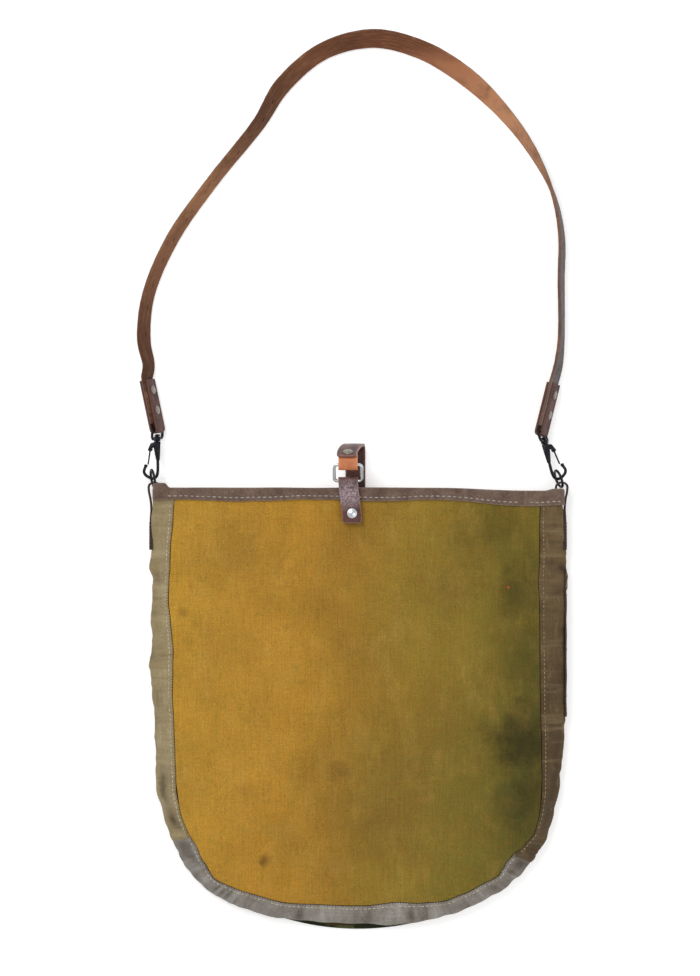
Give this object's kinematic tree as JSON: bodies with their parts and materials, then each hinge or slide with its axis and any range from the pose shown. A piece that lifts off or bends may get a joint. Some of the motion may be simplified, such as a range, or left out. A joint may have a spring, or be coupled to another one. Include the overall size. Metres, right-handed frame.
{
  "type": "mail sack",
  "caption": "Canvas shoulder sack with gusseted sides, a bound mouth, a snap closure on a ring, and a leather strap on snap hooks.",
  "frame": {"origin": "middle of the back panel's flat outer face, on which the sack lies", "axes": "+Y from the sack through its mouth to the strap, +Z out of the front panel, +X to the right seen from the front"},
  "size_m": [0.4291, 0.8981, 0.0439],
  "materials": {
    "canvas_front": "dyed canvas, ochre to dark green",
    "canvas_back": "dark olive canvas",
    "canvas_khaki": "khaki canvas",
    "canvas_grey": "faded grey canvas",
    "suede": "brown suede, topstitched",
    "strap_leather": "harness leather, worn, dark outside and tan inside",
    "end_leather": "reddish brown leather",
    "dark_leather": "dark brown leather with a slight sheen",
    "tan_leather": "tan leather",
    "black_metal": "black oxide wire and casting",
    "nickel": "nickel plate"
  },
  "bodies": {
    "sack": {"front_panel": "canvas_front", "back_panel": "canvas_back", "gusset_left": "canvas_khaki", "gusset_bottom": "canvas_grey", "gusset_right": "canvas_khaki", "gusset_strip": "dark_leather", "binding_front": "suede", "binding_back": "suede", "side_tab_left": "dark_leather", "side_tab_right": "dark_leather", "closure_strap_base": "dark_leather", "snap_stud": "nickel"},
    "left_ring": {"ring_left": "black_metal"},
    "right_ring": {"ring_right": "black_metal"},
    "strap": {"shoulder_strap": "strap_leather", "strap_end_left": "end_leather", "strap_rivet_left_1": "nickel", "strap_rivet_left_2": "nickel", "hook_eye_left": "black_metal", "strap_end_right": "end_leather", "strap_rivet_right_1": "nickel", "strap_rivet_right_2": "nickel", "hook_eye_right": "black_metal"},
    "left_hook": {"hook_body_left": "black_metal"},
    "left_gate": {"hook_gate_left": "black_metal"},
    "right_hook": {"hook_body_right": "black_metal"},
    "right_gate": {"hook_gate_right": "black_metal"},
    "closure_arm": {"closure_strap": "dark_leather", "ring_keeper": "tan_leather", "keeper_rivet": "nickel"},
    "front_ring": {"closure_ring": "nickel"},
    "front_tab": {"closure_tab": "dark_leather", "tab_snap_cap": "nickel", "tab_snap_socket": "nickel"}
  },
  "joints": [
    {"name": "strap_swing", "type": "hinge", "parent": "sack", "child": "strap", "pos_m": [0, 0.2289, 0.013], "axis": [1, 0, 0], "range_deg": [0, 75]},
    {"name": "left_ring_swing", "type": "hinge", "parent": "sack", "child": "left_ring", "pos_m": [-0.2028, 0.2205, 0.013], "axis": [0, 0, 1], "range_deg": [-6, 6]},
    {"name": "right_ring_swing", "type": "hinge", "parent": "sack", "child": "right_ring", "pos_m": [0.2028, 0.2205, 0.013], "axis": [0, 0, 1], "range_deg": [-8, 1]},
    {"name": "left_hook_swivel", "type": "hinge", "parent": "strap", "child": "left_hook", "pos_m": [-0.20081, 0.2293, 0.013], "axis": [0.02, 0.9998, 0], "range_deg": [-12, 6]},
    {"name": "right_hook_swivel", "type": "hinge", "parent": "strap", "child": "right_hook", "pos_m": [0.19638, 0.22798, 0.013], "axis": [-0.28, 0.96, 0], "range_deg": [-12, 12]},
    {"name": "left_gate_press", "type": "hinge", "parent": "left_hook", "child": "left_gate", "pos_m": [-0.20663, 0.25802, 0.013], "axis": [0, 0, 1], "range_deg": [0, 20], "stiffness_Nm_per_rad": 0.02},
    {"name": "right_gate_press", "type": "hinge", "parent": "right_hook", "child": "right_gate", "pos_m": [0.19452, 0.25723, 0.013], "axis": [0, 0, -1], "range_deg": [0, 20], "stiffness_Nm_per_rad": 0.02},
    {"name": "closure_fold", "type": "hinge", "parent": "sack", "child": "closure_arm", "pos_m": [-0.006, 0.2639, 0.01175], "axis": [-1, 0, 0], "range_deg": [0, 80]},
    {"name": "front_ring_swing", "type": "hinge", "parent": "closure_arm", "child": "front_ring", "pos_m": [-0.006, 0.2425, 0.039], "axis": [-1, 0, 0], "range_deg": [0, 70]},
    {"name": "front_tab_swing", "type": "hinge", "parent": "front_ring", "child": "front_tab", "pos_m": [-0.006, 0.2265, 0.029], "axis": [-1, 0, 0], "range_deg": [0, 85]}
  ]
}
